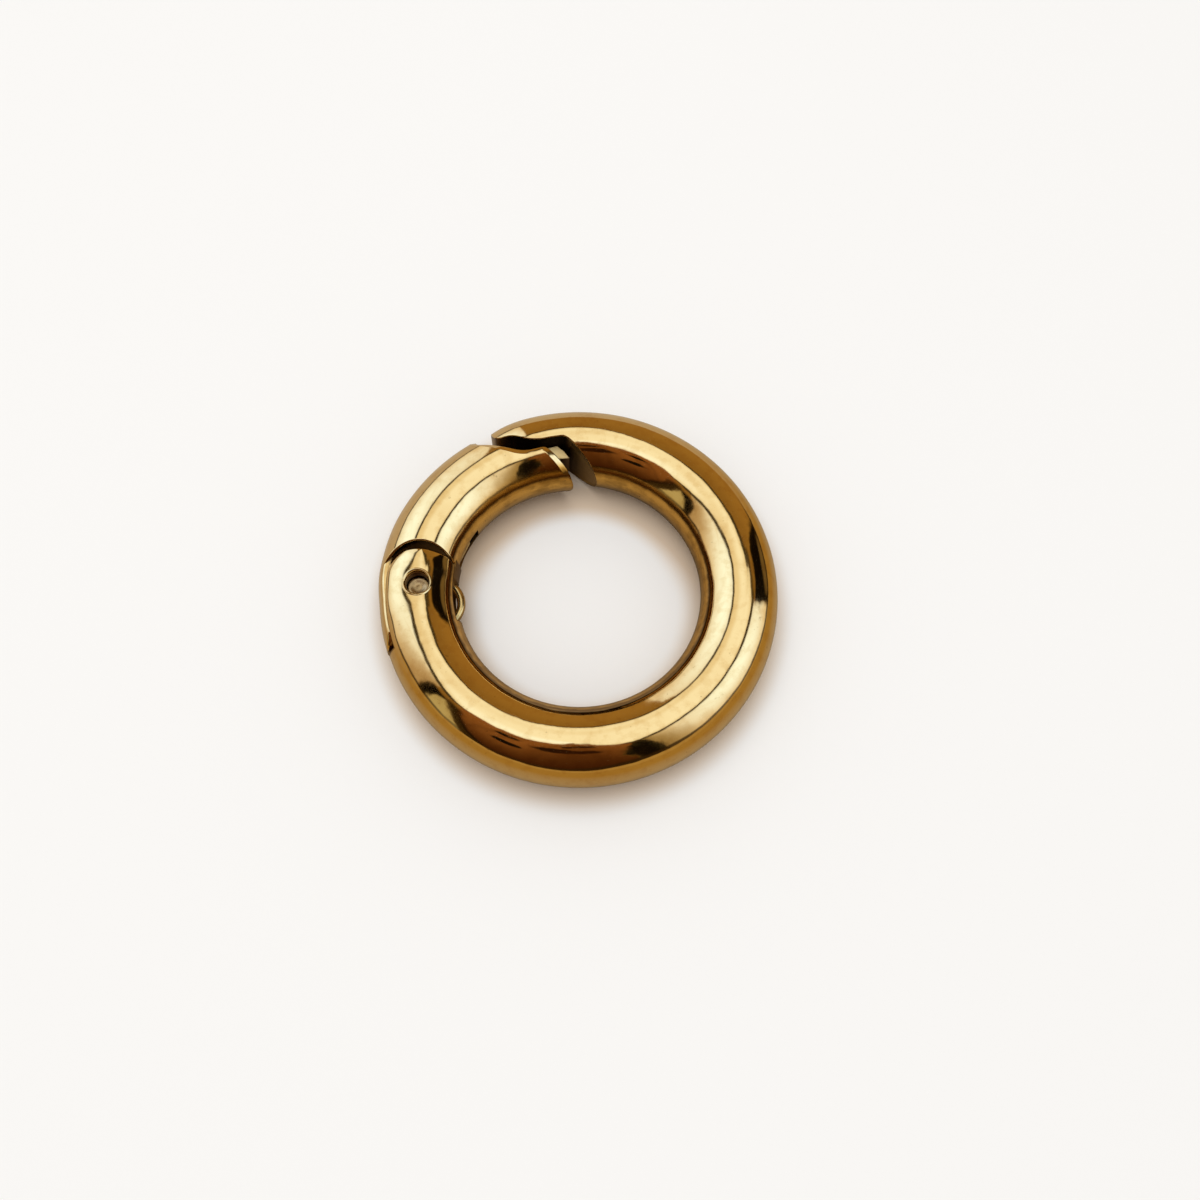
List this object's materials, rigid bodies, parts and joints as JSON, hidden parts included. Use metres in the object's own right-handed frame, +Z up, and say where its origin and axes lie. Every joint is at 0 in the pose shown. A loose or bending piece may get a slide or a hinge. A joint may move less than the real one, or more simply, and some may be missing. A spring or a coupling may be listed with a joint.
{
  "type": "spring gate ring",
  "caption": "Round ring lying flat, with a sprung gate that swings inwards on a hinge pin, for joining straps, chains and tags.",
  "frame": {"origin": "centre of the ring on the surface that it lies on", "axes": "+Z up, out of the ring's flat side; -X towards the hinge pin; +Y towards the gate's nose"},
  "size_m": [0.0253, 0.025, 0.0049],
  "materials": {
    "gold_plate": "polished gold plate on cast zinc alloy",
    "pin_steel": "plated steel pin, dull at its end",
    "spring_wire": "plated spring steel wire"
  },
  "bodies": {
    "ring": {"ring_body": "gold_plate", "hinge_pin": "pin_steel", "gate_spring": "spring_wire"},
    "gate_arm": {"gate": "gold_plate"}
  },
  "joints": [
    {"name": "gate_hinge", "type": "hinge", "parent": "ring", "child": "gate_arm", "pos_m": [-0.00993, -0.00072, 0.00243], "axis": [0, 0, -1], "range_deg": [0, 40], "stiffness_Nm_per_rad": 0.004, "springref_deg": -34.38, "deforming": ["gate_spring"]}
  ]
}
